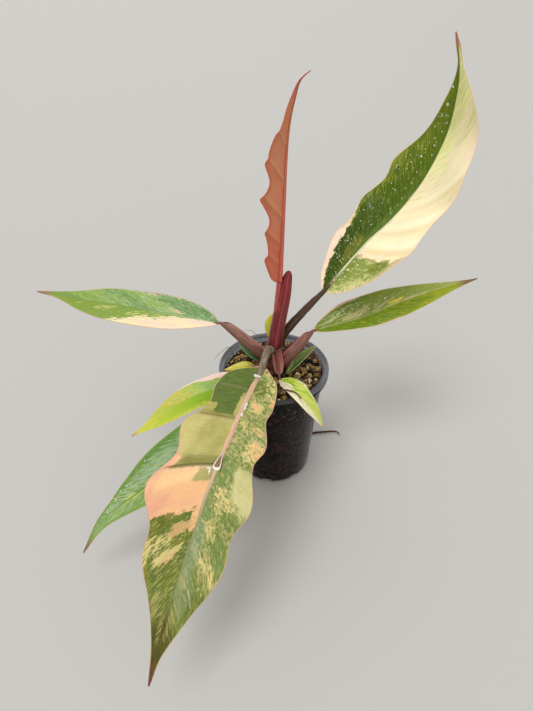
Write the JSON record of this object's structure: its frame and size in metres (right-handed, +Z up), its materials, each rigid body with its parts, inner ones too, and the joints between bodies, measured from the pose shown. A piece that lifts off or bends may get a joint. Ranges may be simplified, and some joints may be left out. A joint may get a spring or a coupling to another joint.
{
  "type": "potted caramel marble philodendron",
  "caption": "Young variegated philodendron with long pointed leaves on short stalks and a folded red new leaf, rooted in a deep clear nursery pot of bark mix.",
  "frame": {"origin": "centre of the pot's flat underside, on the surface it stands on", "axes": "+Z up along the pot's axis, -Y towards the viewer and the long front leaf, +X to the viewer's right"},
  "size_m": [0.3705, 0.2991, 0.3855],
  "materials": {
    "smoky_plastic": "clear smoke-grey moulded nursery pot",
    "potting_mix": "coarse moist bark and pumice mix",
    "stem": "short ringed brown stem",
    "crimson_bract": "slightly glossy crimson bract",
    "root": "thin reddish-brown root",
    "marbled_leaf": "waxy leaf in green, olive and peach sectors with fine marbling",
    "half_cream_leaf": "waxy leaf, one half deep green and the other cream",
    "green_leaf": "waxy green leaf with pale streaks and a pink margin",
    "red_new_leaf": "soft terracotta-red young leaf",
    "yellow_leaf": "small yellow-green leaf",
    "small_green_leaf": "small plain green leaf",
    "lime_leaf": "small leaf, half lime green and half cream",
    "green_stalk": "brown-green round leaf stalk",
    "winged_stalk": "brownish-red stalk with winged edges"
  },
  "bodies": {
    "root": {"pot": "smoky_plastic", "potting_mix": "potting_mix", "stem": "stem", "new_bract": "crimson_bract", "root_out": "root", "root_over_mix": "root", "front_blade": "marbled_leaf", "front_stalk": "green_stalk", "upper_right_blade": "half_cream_leaf", "upper_right_stalk": "green_stalk", "right_blade": "green_leaf", "right_stalk": "winged_stalk", "left_blade": "green_leaf", "left_stalk": "winged_stalk", "lower_left_blade": "green_leaf", "lower_left_stalk": "winged_stalk", "hanging_left_blade": "green_leaf", "hanging_left_stalk": "winged_stalk", "new_blade": "red_new_leaf", "new_stalk": "red_new_leaf", "small_back_blade": "yellow_leaf", "small_back_stalk": "yellow_leaf", "small_left_blade": "small_green_leaf", "small_left_stalk": "small_green_leaf", "small_front_left_blade": "yellow_leaf", "small_front_left_stalk": "yellow_leaf", "small_right_blade": "small_green_leaf", "small_right_stalk": "small_green_leaf", "small_front_blade": "lime_leaf", "small_front_stalk": "winged_stalk"}
  },
  "joints": []
}
